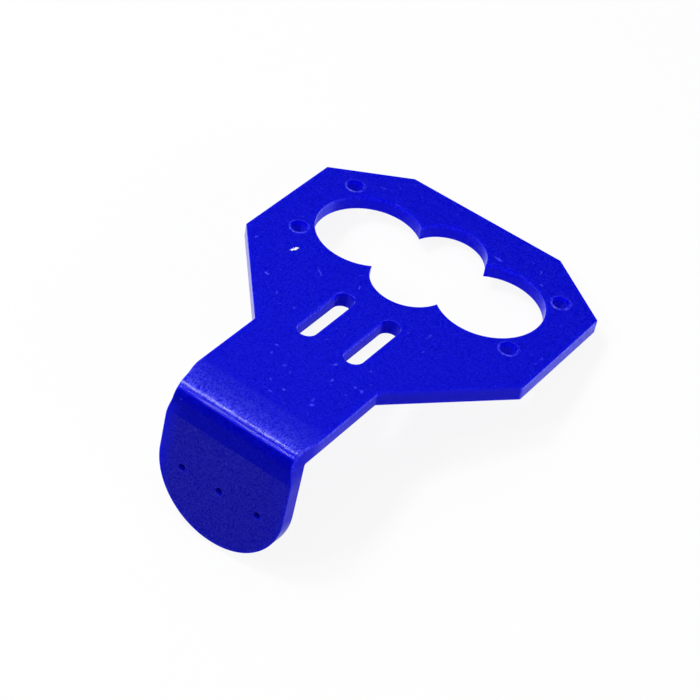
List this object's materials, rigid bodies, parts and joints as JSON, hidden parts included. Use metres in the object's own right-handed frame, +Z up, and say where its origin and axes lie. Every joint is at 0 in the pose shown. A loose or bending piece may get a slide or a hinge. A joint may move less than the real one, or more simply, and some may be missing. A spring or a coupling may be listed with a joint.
{
  "type": "sensor bracket",
  "caption": "Folded acrylic sheet bracket: a scalloped head opening takes an ultrasonic sensor's eyes, and a rounded tab screws to a servo's horn.",
  "frame": {"origin": "on the surface the bracket lies on, under the middle of its bounding box", "axes": "+Z up; +Y along the bracket from its tab to its head's top edge; +X across it. It lies outer face up, on the tab's tip and the head's top edge, so the head slopes down towards +Y by 18.2 degrees"},
  "size_m": [0.0588, 0.0802, 0.0251],
  "materials": {
    "blue_acrylic": "glossy royal blue sheet with paler, frosted laser-cut edges"
  },
  "bodies": {
    "root": {"sensor_bracket": "blue_acrylic"}
  },
  "joints": []
}
